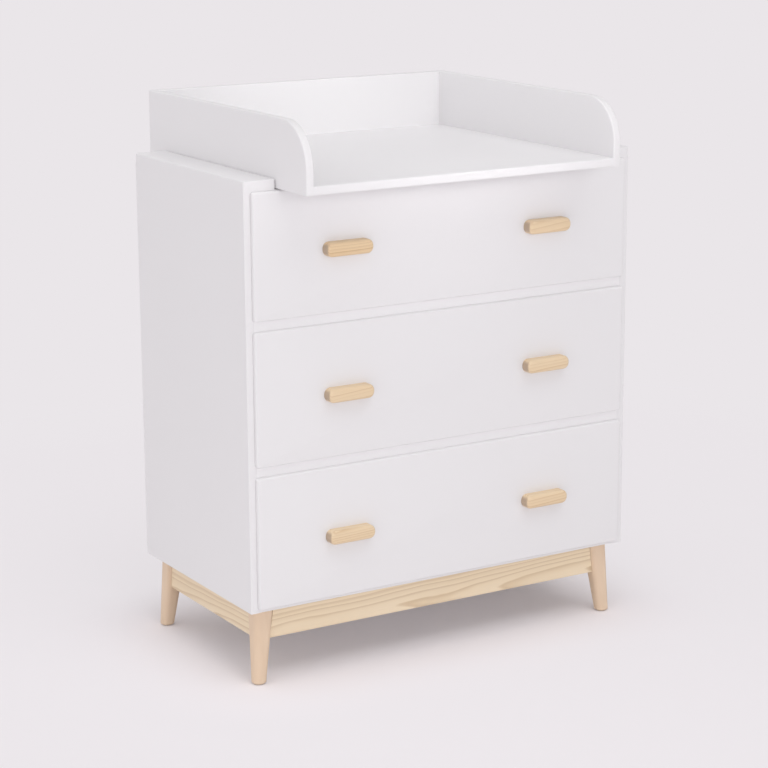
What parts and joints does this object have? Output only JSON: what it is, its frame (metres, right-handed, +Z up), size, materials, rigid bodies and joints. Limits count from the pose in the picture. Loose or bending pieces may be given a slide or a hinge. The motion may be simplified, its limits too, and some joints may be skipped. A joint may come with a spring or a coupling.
{
  "type": "changing dresser",
  "caption": "White chest with three drawers, pine bar handles and a pine leg base, carrying a lift-off changing tray that overhangs it front and back.",
  "frame": {"origin": "on the floor under the middle of the tray, which is the middle of the whole outline", "axes": "+Z up, -Y to the front where the drawers open, +X to the right seen from the front"},
  "size_m": [0.8, 0.594, 1.004],
  "materials": {
    "white_lacquer": "satin",
    "white_melamine": "matte",
    "white_fibreboard": "matte",
    "pine": "matte",
    "plain_wood": "matte",
    "runner_steel": "satin",
    "zinc_steel": "satin",
    "glide_plastic": "matte",
    "pad_rubber": "matte"
  },
  "bodies": {
    "carcass": {"apron_front": "pine", "apron_left": "pine", "apron_rear": "pine", "apron_right": "pine", "back_panel": "white_fibreboard", "bottom_panel": "white_lacquer", "corner_braces": "plain_wood", "drawer_bottom_runner_outer": "runner_steel", "drawer_middle_runner_outer": "runner_steel", "drawer_top_runner_outer": "runner_steel", "floor_glides": "glide_plastic", "hanger_bolts": "zinc_steel", "leg_front_left": "pine", "leg_front_right": "pine", "leg_rear_left": "pine", "leg_rear_right": "pine", "rail_lower": "white_lacquer", "rail_upper": "white_lacquer", "side_panel_left": "white_lacquer", "side_panel_right": "white_lacquer", "top_panel": "white_lacquer", "top_strip_left": "white_lacquer", "top_strip_right": "white_lacquer"},
    "tray": {"tray_dowels": "plain_wood", "tray_floor": "white_lacquer", "tray_pads": "pad_rubber", "tray_wall_back": "white_lacquer", "tray_wall_left": "white_lacquer", "tray_wall_right": "white_lacquer"},
    "drawer_top": {"drawer_top_back": "white_melamine", "drawer_top_base": "white_fibreboard", "drawer_top_box_front": "white_melamine", "drawer_top_front": "white_lacquer", "drawer_top_handle_left": "pine", "drawer_top_handle_right": "pine", "drawer_top_runner_inner": "runner_steel", "drawer_top_side_left": "white_melamine", "drawer_top_side_right": "white_melamine"},
    "runner_top": {"drawer_top_runner_middle": "runner_steel"},
    "drawer_middle": {"drawer_middle_back": "white_melamine", "drawer_middle_base": "white_fibreboard", "drawer_middle_box_front": "white_melamine", "drawer_middle_front": "white_lacquer", "drawer_middle_handle_left": "pine", "drawer_middle_handle_right": "pine", "drawer_middle_runner_inner": "runner_steel", "drawer_middle_side_left": "white_melamine", "drawer_middle_side_right": "white_melamine"},
    "runner_middle": {"drawer_middle_runner_middle": "runner_steel"},
    "drawer_bottom": {"drawer_bottom_back": "white_melamine", "drawer_bottom_base": "white_fibreboard", "drawer_bottom_box_front": "white_melamine", "drawer_bottom_front": "white_lacquer", "drawer_bottom_handle_left": "pine", "drawer_bottom_handle_right": "pine", "drawer_bottom_runner_inner": "runner_steel", "drawer_bottom_side_left": "white_melamine", "drawer_bottom_side_right": "white_melamine"},
    "runner_bottom": {"drawer_bottom_runner_middle": "runner_steel"}
  },
  "joints": [
    {"name": "drawer_top_slide", "type": "slide", "parent": "carcass", "child": "drawer_top", "axis": [0, -1, 0], "range_m": [0, 0.34]},
    {"name": "drawer_middle_slide", "type": "slide", "parent": "carcass", "child": "drawer_middle", "axis": [0, -1, 0], "range_m": [0, 0.34]},
    {"name": "drawer_bottom_slide", "type": "slide", "parent": "carcass", "child": "drawer_bottom", "axis": [0, -1, 0], "range_m": [0, 0.34]},
    {"name": "runner_top_slide", "type": "slide", "parent": "carcass", "child": "runner_top", "axis": [0, -1, 0], "range_m": [0, 0.17]},
    {"name": "runner_middle_slide", "type": "slide", "parent": "carcass", "child": "runner_middle", "axis": [0, -1, 0], "range_m": [0, 0.17]},
    {"name": "runner_bottom_slide", "type": "slide", "parent": "carcass", "child": "runner_bottom", "axis": [0, -1, 0], "range_m": [0, 0.17]},
    {"name": "tray_lift", "type": "slide", "parent": "carcass", "child": "tray", "axis": [0, 0, 1], "range_m": [0, 0.15]}
  ],
  "couplings": [
    {"joint": "runner_top_slide", "follows": "drawer_top_slide", "ratio": 0.5},
    {"joint": "runner_middle_slide", "follows": "drawer_middle_slide", "ratio": 0.5},
    {"joint": "runner_bottom_slide", "follows": "drawer_bottom_slide", "ratio": 0.5}
  ]
}
